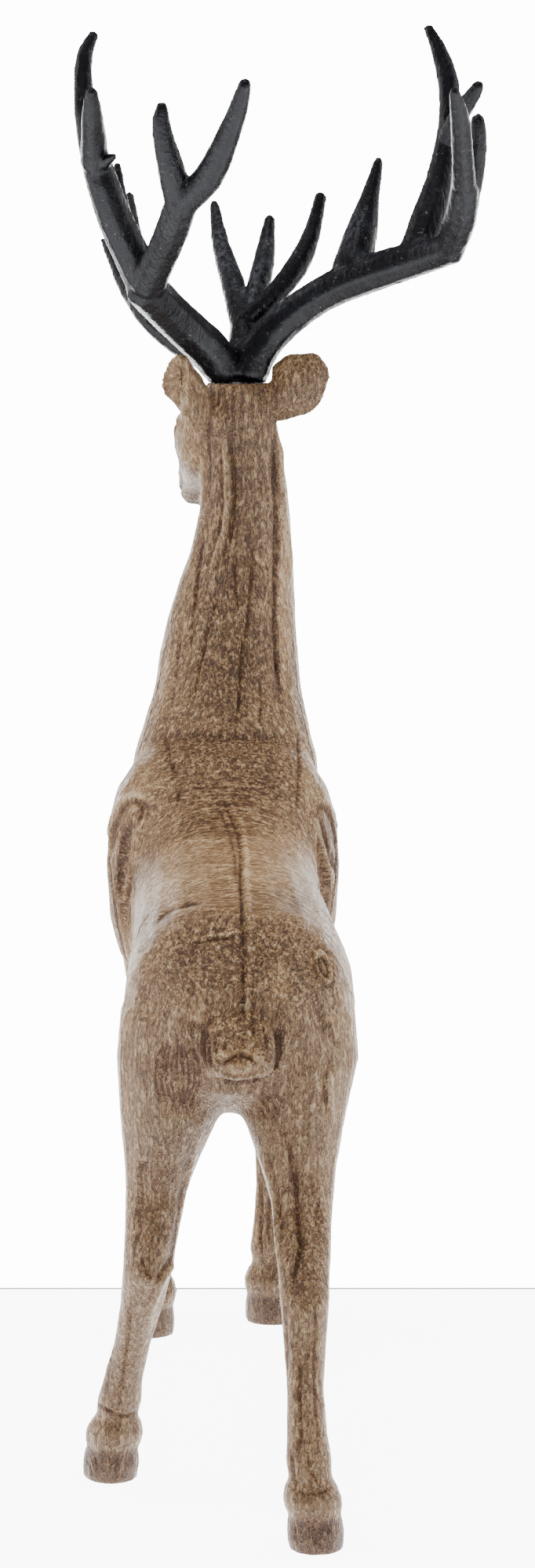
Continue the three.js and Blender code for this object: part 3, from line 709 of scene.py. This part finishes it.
def carved_material(settings):
    """Tan resin under a brown wash, covered in small pale gouge marks."""
    material, nodes = new_material("carved resin")
    groove = nodes.attribute("groove")
    line = nodes.attribute("line")
    wash = nodes.attribute("wash")
    bare = nodes.attribute("bare")
    hoof = nodes.attribute("hoof")
    across = nodes.attribute("across")
    lengthwise = nodes.attribute("lengthwise")

    def flowing(scale, stretch, **extra):
        upright = nodes.noise(nodes.place((1, 1, stretch)), scale, **extra)
        sideways = nodes.noise(nodes.place((stretch, 1, 1)), scale, **extra)
        back = nodes.noise(nodes.place((1, stretch, 1)), scale, **extra)
        return nodes.mix(lengthwise, nodes.mix(across, upright, sideways), back)

    marks = nodes.range(flowing(820, 0.34, detail=2.0, roughness=0.6, distortion=0.9), 0.46, 0.57)
    curls = flowing(400, 0.5, detail=1.0, roughness=0.4, distortion=1.6)
    curls = nodes.range(nodes.math("ABSOLUTE", nodes.math("SUBTRACT", curls, 0.5)), 0.06, 0.015)
    hairs = nodes.range(flowing(640, 0.06, detail=2.0, roughness=0.6, distortion=0.35), 0.42, 0.60)
    pits = nodes.range(flowing(1000, 0.5, detail=2.0, roughness=0.6), 0.38, 0.43)
    clouds = nodes.noise(nodes.place((1, 1, 1)), 38, detail=3.0, roughness=0.6)

    relief = nodes.math("ADD", nodes.math("MULTIPLY", marks, 0.55), nodes.math("MULTIPLY", curls, 0.35))
    relief = nodes.math("ADD", relief, nodes.math("MULTIPLY", hairs, 0.35))
    strength = nodes.math("ADD", nodes.math("MULTIPLY", wash, 0.14), 0.60)
    strength = nodes.math("MULTIPLY", strength, nodes.range(bare, 0.0, 1.0, 1.0, 0.85))

    tone = nodes.math("ADD", 0.47, nodes.math("MULTIPLY", nodes.math("SUBTRACT", relief, 0.5), strength))
    tone = nodes.math("ADD", tone, nodes.range(clouds, 0.3, 0.7, -0.06, 0.06))
    # Darker with the wash, which also carries the painted shade under the tail.
    tone = nodes.math("SUBTRACT", tone, nodes.math("MULTIPLY", wash, 0.10))
    tone = nodes.math("ADD", tone, nodes.math("MULTIPLY", bare, 0.17))
    tone = nodes.math("SUBTRACT", tone, nodes.math("MULTIPLY", hoof, 0.18))
    tone = nodes.math("SUBTRACT", tone, nodes.range(groove, -0.08, 0.12, -0.08, 0.12))
    tone = nodes.math("SUBTRACT", tone, nodes.range(line, -0.7, 0.7, -0.34, 0.34))
    hollows = nodes.math("MULTIPLY", nodes.math("SUBTRACT", 1.0, pits), 0.20)
    tone = nodes.math("SUBTRACT", tone, hollows, clamp=True)

    ramp = nodes.add("ShaderNodeValToRGB", {"Fac": tone})
    stops = ramp.color_ramp.elements
    stops[0].position, stops[0].color = 0.04, opaque(settings.deep_colour)
    stops[1].position, stops[1].color = 0.9, opaque(settings.pale_colour)
    for position, colour in ((0.26, settings.wash_colour), (0.58, settings.raised_colour)):
        stop = stops.new(position)
        stop.color = opaque(colour)
    tinted = nodes.blend(
        nodes.math("MULTIPLY", hoof, 0.7), ramp.outputs["Color"], opaque(settings.hoof_colour), "MULTIPLY"
    )

    height = nodes.math("ADD", relief, nodes.math("MULTIPLY", pits, 0.4))
    height = nodes.math("MULTIPLY", height, nodes.range(bare, 0.0, 1.0, 1.0, 0.35))
    bump = nodes.add("ShaderNodeBump", {"Height": height, "Strength": 1.0, "Distance": 0.0008})
    shader = nodes.add("ShaderNodeBsdfPrincipled", {
        "Base Color": tinted, "Roughness": nodes.range(tone, 0.0, 1.0, 0.62, 0.42),
        "Normal": bump.outputs["Normal"], "Specular IOR Level": 0.32,
    })
    nodes.add("ShaderNodeOutputMaterial", {"Surface": shader.outputs["BSDF"]})
    return material


def antler_material(settings):
    """Near-black resin, ridged lengthwise, with painted grey sheen on faces that turn up and in the crotches,
    and some patchy grey wear.
    """
    material, nodes = new_material("dark resin")
    groove = nodes.attribute("groove")
    top_highlight = nodes.attribute("top_highlight")
    pits = nodes.noise(nodes.place((1, 1, 1)), 900, detail=3.0, roughness=0.65)
    grain = nodes.noise(nodes.place((1, 1, 0.22)), 620, detail=3.0, roughness=0.6, distortion=0.8)
    clouds = nodes.noise(nodes.place((1, 1, 1)), 55, detail=2.0)
    specks = nodes.range(nodes.noise(nodes.place((1, 1, 1)), 700, detail=1.0), 0.70, 0.75)
    # Painted sheen and highlight: patchy grey, strongest on faces that turn up and in the crotches between
    # the beams, stands in for the light they catch; a little of it stays on every face as wear.
    wear_and_sheen = nodes.math("MULTIPLY", nodes.range(grain, 0.44, 0.60), nodes.range(clouds, 0.46, 0.62))
    wear_and_sheen = nodes.math("MULTIPLY", wear_and_sheen, nodes.range(top_highlight, 0.0, 1.0, 0.12, 1.0))
    wear_and_sheen = nodes.math("ADD", wear_and_sheen, nodes.range(groove, 0.005, 0.05, 0.0, 0.7), clamp=True)
    colour = nodes.blend(
        nodes.math("MULTIPLY", wear_and_sheen, 0.8), opaque(settings.colour), opaque(settings.wear_and_sheen_colour)
    )
    colour = nodes.blend(nodes.math("MULTIPLY", specks, 0.5), colour, opaque(settings.speck_colour))
    height = nodes.math("ADD", nodes.math("MULTIPLY", grain, 0.7), nodes.math("MULTIPLY", pits, 0.35))
    bump = nodes.add("ShaderNodeBump", {"Height": height, "Strength": 0.7, "Distance": 0.0009})
    shader = nodes.add("ShaderNodeBsdfPrincipled", {
        "Base Color": colour, "Roughness": nodes.range(grain, 0.3, 0.7, 0.38, 0.26),
        "Normal": bump.outputs["Normal"], "Specular IOR Level": 0.12,
    })
    nodes.add("ShaderNodeOutputMaterial", {"Surface": shader.outputs["BSDF"]})
    return material


def glowing_material(name, strength):
    """An even white glow with a trace of unevenness, for the backdrop, and a dim one for the floor's far rim,
    where it is painted shade on the floor's edge.
    """
    material, nodes = new_material(name)
    haze = nodes.noise(nodes.place((1, 1, 1)), 0.6, detail=0.0)
    glow = nodes.add(
        "ShaderNodeEmission",
        {"Color": (1, 1, 1, 1), "Strength": nodes.range(haze, 0.3, 0.7, 0.97 * strength, strength)},
    )
    nodes.add("ShaderNodeOutputMaterial", {"Surface": glow.outputs["Emission"]})
    return material


def floor_material(colour, glow):
    """Glossy white acrylic, lit through from below."""
    material, nodes = new_material("floor")
    haze = nodes.noise(nodes.place((1, 1, 1)), 8, detail=1.0)
    tint = nodes.blend(nodes.range(haze, 0.3, 0.7, 0.0, 0.06), opaque(colour), (0.7, 0.75, 0.8, 1))
    shader = nodes.add("ShaderNodeBsdfPrincipled", {
        "Base Color": tint, "Roughness": 0.06, "Emission Color": tint, "Emission Strength": glow,
    })
    nodes.add("ShaderNodeOutputMaterial", {"Surface": shader.outputs["BSDF"]})
    return material


# Pieces


def hold_in_box(piece, node):
    """Keeps the points inside the solid's own box, and the soles flat on the floor."""
    low, high = (np.array(corner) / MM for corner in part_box(node))
    skin = Skin(piece.data)
    skin.co = np.clip(skin.co, low, high)
    skin.co[skin.co[:, 2] < SOLE_HEIGHT, 2] = 0
    skin.write()


def patches_on(sheet, patches):
    """The strongest of a list of soft-edged patches on the sheet, at each point."""
    strongest = np.zeros(len(sheet))
    for middle, half, strength in patches:
        distance = np.linalg.norm((sheet - np.array(middle)) / np.array(half), axis=1)
        strongest = np.maximum(strongest, strength * smoothstep(1.15, 0.55, distance))
    return strongest


def smooth_forms(skin, settings):
    """Rounds the facets and fillets the creases between the forms; ears, tail and hooves stay crisp."""
    table = skin.co - TABLE_ZERO
    x, y, height = table.T
    legs = smoothstep(150, 60, height)
    hooves = smoothstep(34, 26, height)
    ears = smoothstep(346, 354, height) * smoothstep(12, 17, np.abs(x - CROWN_MIDDLE))
    beside = np.abs(x - TAIL_MIDDLE)
    tail = smoothstep(34, 29, y) * smoothstep(147, 151, height) * smoothstep(15.5, 13, beside)
    fine = np.clip(np.maximum.reduce([hooves, ears, tail]), 0, 1)
    crown = smoothstep(362, 365, height) * smoothstep(16, 12, np.abs(x - CROWN_MIDDLE))
    broad = (1 - fine) * (1 - crown)
    throat = broad * smoothstep(268, 285, height) * smoothstep(352, 345, height) * smoothstep(250, 262, y)
    skin.relax(8, np.full(len(skin.co), 0.8))
    skin.relax(50, np.clip(ears, 0, 1))
    skin.relax(14, np.clip(hooves + tail, 0, 1))
    skin.fill(8, np.clip(hooves * smoothstep(2, 5, height), 0, 1))
    skin.fill(settings.fillet_rounds, broad * (1 - 0.4 * legs) * smoothstep(40, 60, height))
    groin = broad * smoothstep(105, 120, height) * smoothstep(158, 146, height) * smoothstep(95, 75, y)
    skin.fill(2 * settings.fillet_rounds, np.maximum(groin, throat))
    skin.relax(80, broad * (1 - 0.55 * legs))


def make_deer(settings):
    """The stag with its carving, as one mesh."""
    piece = even_skin(swell_ears(cad_copy("deer", "stag"), settings.rim / MM), settings.skin_size)
    skin = Skin(piece.data)
    smooth_forms(skin, settings)
    skin.attribute("groove", skin.curvature(2))
    skin.write()
    thin_out(piece, settings.plain_triangles)
    refine(piece, settings.line_size / MM, 2)

    skin = Skin(piece.data)
    normal = skin.normals()
    line = drawn_depths(skin) + head_depths(skin)
    skin.co -= line[:, None] * normal
    table = skin.co - TABLE_ZERO
    x, y, height = table.T
    sheet, _ = on_sheet(skin.co)
    neck = smoothstep(205, 245, height)
    trunk = smoothstep(120, 160, height) * (1 - neck)
    level = smoothstep(0.75, 0.45, np.abs(normal[:, 0]))
    behind = smoothstep(0.75, 0.2, normal[:, 1])
    ahead, _, _ = in_head(table)
    skin.attribute("line", line)
    skin.attribute("across", trunk * level * smoothstep(45, 75, y))
    skin.attribute("lengthwise", trunk * level * smoothstep(70, 45, y) * smoothstep(0.2, 0.6, normal[:, 2]))
    hidden = 0.35 * (1 - behind)
    # The wash also carries the painted shade under the tail.
    skin.attribute("wash", np.maximum(hidden, behind * patches_on(sheet, WASH_AND_SHADE_PATCHES)))
    skin.attribute("bare", behind * patches_on(sheet, BARE_PATCHES))
    skin.attribute("hoof", np.maximum(smoothstep(12.5, 10.5, height), smoothstep(63, 67, ahead) * neck))
    crown = smoothstep(362, 366, height) * smoothstep(16, 12, np.abs(x))
    skin.attribute("relief", smoothstep(0.5, 6, height) * (1 - crown))
    skin.write()
    cut_relief(piece, {
        "Depth": settings.cut_depth, "Cuts per metre": settings.cuts, "Seed": settings.seed,
        "Stretch": (1.0, 0.6, 0.45), "Finish": carved_material(settings),
    })
    hold_in_box(piece, "deer")
    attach(piece, "root")
    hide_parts("deer")
    return piece


def make_antlers(settings):
    """Both antlers with their foot, as one mesh."""
    piece = even_skin(cad_copy("antlers", "antler_pair"), settings.skin_size)
    skin = Skin(piece.data)
    foot = smoothstep(*ANTLER_FOOT, skin.co[:, 2])
    skin.relax(3, np.full(len(skin.co), 0.8))
    skin.fill(18, 1 - foot)
    skin.fill(settings.web_rounds, (1 - foot) * smoothstep(*WEB_HEIGHT, skin.co[:, 2]))
    skin.relax(14, 1 - foot)
    normal = skin.normals()
    skin.co += (settings.body / MM * (1 - foot))[:, None] * normal
    skin.attribute("groove", skin.curvature(2))
    # How far each face turns up, for the painted highlight on the upper faces.
    skin.attribute("top_highlight", smoothstep(0.2, 0.9, normal[:, 2]))
    skin.attribute("relief", 1 - foot)
    skin.write()
    cut_relief(piece, {
        "Depth": settings.ridge_depth, "Cuts per metre": settings.ridges, "Seed": settings.seed,
        "Stretch": (1.0, 1.0, 0.3), "Finish": antler_material(settings),
    })
    hold_in_box(piece, "antlers")
    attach(piece, "root")
    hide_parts("antlers")
    return piece


def plane(name, corners, material):
    """One flat face."""
    mesh = bpy.data.meshes.new(name)
    mesh.from_pydata(corners, [], [tuple(range(len(corners)))])
    mesh.materials.append(material)
    piece = bpy.data.objects.new(name, mesh)
    bpy.context.scene.collection.objects.link(piece)
    return piece


def upright(half, y, low, high):
    """The corners of a face that stands across the view."""
    return [(-half, y, low), (half, y, low), (half, y, high), (-half, y, high)]


def lamp(name, place, size, power):
    """A soft rectangular light that points at the figurine."""
    light = bpy.data.lights.new(name, "AREA")
    light.shape = "RECTANGLE"
    light.size, light.size_y = size
    light.energy = power
    piece = bpy.data.objects.new(name, light)
    piece.location = place
    piece.rotation_euler = (Vector(LIT_POINT) - Vector(place)).to_track_quat("-Z", "Y").to_euler()
    bpy.context.scene.collection.objects.link(piece)
    return piece


def make_stage(settings):
    """A pale floor that ends beyond the figurine, a glowing backdrop, soft lamps and the camera."""
    edge = settings.floor_edge
    wide = FLOOR_HALF
    floor = plane("floor", [(-wide, -wide, 0), (wide, -wide, 0), (wide, edge, 0), (-wide, edge, 0)],
                  floor_material(settings.floor_colour, settings.floor_glow))
    floor.visible_diffuse = False
    # The floor's far rim glows dimly and shows as a grey line: painted shade on the edge of the floor.
    rim = plane("floor_rim_painted_shade", upright(FLOOR_HALF, edge, *RIM_HEIGHTS),
                glowing_material("floor rim painted shade", settings.rim))
    backdrop = plane("backdrop", upright(BACKDROP_HALF, BACKDROP_DISTANCE, *BACKDROP_HEIGHTS),
                     glowing_material("backdrop", settings.backdrop))
    for name, place, size, power in LAMPS:
        lamp(name, place, size, power * settings.light)
    world = bpy.data.worlds.new("studio")
    world.use_nodes = True
    background = world.node_tree.nodes["Background"]
    background.inputs["Color"].default_value = (1, 1, 1, 1)
    background.inputs["Strength"].default_value = settings.surround
    bpy.context.scene.world = world
    camera = bpy.data.cameras.new("camera")
    camera.sensor_width = SENSOR_WIDTH
    camera.lens = SHEET_SCALE / IMAGE_HEIGHT * camera.sensor_width
    piece = bpy.data.objects.new("camera", camera)
    piece.location = EYE
    piece.rotation_euler = (math.pi / 2 - EYE_PITCH, 0, 0)
    bpy.context.scene.collection.objects.link(piece)
    bpy.context.scene.camera = piece


# Add-on


class StagSettings(bpy.types.PropertyGroup):
    """Sizes and colours of the stag's casting."""

    skin_size: bpy.props.FloatProperty(
        name="Skin size", description="Size of the faces of the plain skin", default=0.00095, unit="LENGTH")
    line_size: bpy.props.FloatProperty(
        name="Line size", description="Longest edge beside a carved line", default=0.0009, unit="LENGTH")
    cut_depth: bpy.props.FloatProperty(
        name="Cut depth", description="Depth of the gouge cuts", default=0.0011, unit="LENGTH")
    cuts: bpy.props.FloatProperty(name="Cuts", description="Gouge cuts in a metre", default=170.0)
    seed: bpy.props.FloatProperty(name="Seed", description="Which gouge cuts are drawn", default=3.0)
    rim: bpy.props.FloatProperty(
        name="Ear rim", description="How much the ears' rims are thickened", default=0.0006, unit="LENGTH")
    fillet_rounds: bpy.props.IntProperty(
        name="Fillet", description="How far creases between the forms are filled", default=36)
    plain_triangles: bpy.props.IntProperty(
        name="Plain triangles", description="Triangles of the skin before the lines are carved",
        default=74000)
    deep_colour: bpy.props.FloatVectorProperty(
        name="Deep colour", description="Wash at the bottom of the grooves",
        default=(0.058, 0.020, 0.004), subtype="COLOR")
    wash_colour: bpy.props.FloatVectorProperty(
        name="Wash colour", description="Brown wash over the flat ground",
        default=(0.16, 0.074, 0.024), subtype="COLOR")
    raised_colour: bpy.props.FloatVectorProperty(
        name="Raised colour", description="Tan of the raised carving",
        default=(0.40, 0.225, 0.095), subtype="COLOR")
    pale_colour: bpy.props.FloatVectorProperty(
        name="Pale colour", description="Rubbed, nearly white places",
        default=(0.78, 0.55, 0.32), subtype="COLOR")
    hoof_colour: bpy.props.FloatVectorProperty(
        name="Hoof colour", description="Tint of the hooves", default=(0.56, 0.49, 0.40), subtype="COLOR")


class AntlerSettings(bpy.types.PropertyGroup):
    """Sizes and colours of the antlers."""

    skin_size: bpy.props.FloatProperty(
        name="Skin size", description="Size of the faces of the skin", default=0.0009, unit="LENGTH")
    body: bpy.props.FloatProperty(
        name="Body", description="Thickness given back after smoothing", default=0.0006, unit="LENGTH")
    web_rounds: bpy.props.IntProperty(
        name="Web", description="How far the fork between the beams is filled", default=110)
    ridge_depth: bpy.props.FloatProperty(
        name="Ridge depth", description="Depth of the ridges along the beams",
        default=0.0007, unit="LENGTH")
    ridges: bpy.props.FloatProperty(
        name="Ridges", description="Ridges in a metre across a beam", default=260.0)
    seed: bpy.props.FloatProperty(name="Seed", description="Which ridges are drawn", default=7.0)
    colour: bpy.props.FloatVectorProperty(
        name="Colour", description="Near-black ground", default=(0.0018, 0.0019, 0.0042), subtype="COLOR")
    # Grey of the painted sheen on upward faces and in the crotches, and of the patchy wear.
    wear_and_sheen_colour: bpy.props.FloatVectorProperty(
        name="Sheen and wear colour", description="Grey of the painted sheen and wear",
        default=(0.085, 0.088, 0.108), subtype="COLOR")
    speck_colour: bpy.props.FloatVectorProperty(
        name="Speck colour", description="Pale specks", default=(0.22, 0.20, 0.19), subtype="COLOR")


class StageSettings(bpy.types.PropertyGroup):
    """The plain studio around the figurine."""

    floor_colour: bpy.props.FloatVectorProperty(
        name="Floor colour", description="Pale floor", default=(0.88, 0.89, 0.9), subtype="COLOR")
    floor_edge: bpy.props.FloatProperty(
        name="Floor edge", description="Where the floor ends beyond the figurine",
        default=0.143, unit="LENGTH")
    floor_glow: bpy.props.FloatProperty(name="Floor glow", description="Light through the floor", default=9.5)
    # Dim glow of the floor's far rim: painted shade on the edge of the floor.
    rim: bpy.props.FloatProperty(name="Rim", description="Glow of the floor's far rim", default=1.2)
    light: bpy.props.FloatProperty(name="Light", description="Strength of the lamps", default=1.0)
    surround: bpy.props.FloatProperty(
        name="Surround", description="Strength of the white surround", default=0.5)
    backdrop: bpy.props.FloatProperty(
        name="Backdrop", description="Strength of the backdrop's glow", default=14.0)


class FIGURINE_OT_stag(bpy.types.Operator):
    """Dresses the stag's casting"""

    bl_idname = "figurine.stag"
    bl_label = "Stag"

    def execute(self, context):
        make_deer(context.scene.stag_settings)
        return {"FINISHED"}


class FIGURINE_OT_antlers(bpy.types.Operator):
    """Dresses the antlers"""

    bl_idname = "figurine.antlers"
    bl_label = "Antlers"

    def execute(self, context):
        make_antlers(context.scene.antler_settings)
        return {"FINISHED"}


class FIGURINE_OT_stage(bpy.types.Operator):
    """Sets the floor, backdrop, lamps and camera"""

    bl_idname = "figurine.stage"
    bl_label = "Stage"

    def execute(self, context):
        make_stage(context.scene.stage_settings)
        return {"FINISHED"}


class FIGURINE_PT_panel(bpy.types.Panel):
    """Lists the figurine's pieces and their settings"""

    bl_idname = "FIGURINE_PT_panel"
    bl_label = "Reindeer figurine"
    bl_space_type = "VIEW_3D"
    bl_region_type = "UI"
    bl_category = "Reindeer"

    def draw(self, context):
        for operator, settings in (
            ("figurine.stag", context.scene.stag_settings),
            ("figurine.antlers", context.scene.antler_settings),
            ("figurine.stage", context.scene.stage_settings),
        ):
            box = self.layout.box()
            box.operator(operator)
            for name in settings.__annotations__:
                box.prop(settings, name)


CLASSES = (
    StagSettings, AntlerSettings, StageSettings,
    FIGURINE_OT_stag, FIGURINE_OT_antlers, FIGURINE_OT_stage, FIGURINE_PT_panel,
)
SETTINGS = {"stag_settings": StagSettings, "antler_settings": AntlerSettings, "stage_settings": StageSettings}


def register():
    for cls in CLASSES:
        bpy.utils.register_class(cls)
    for name, cls in SETTINGS.items():
        setattr(bpy.types.Scene, name, bpy.props.PointerProperty(type=cls))


def unregister():
    for name in SETTINGS:
        delattr(bpy.types.Scene, name)
    for cls in reversed(CLASSES):
        bpy.utils.unregister_class(cls)


def main():
    register()
    bpy.ops.figurine.stag()
    bpy.ops.figurine.antlers()
    bpy.ops.figurine.stage()


if __name__ == "__main__":
    main()
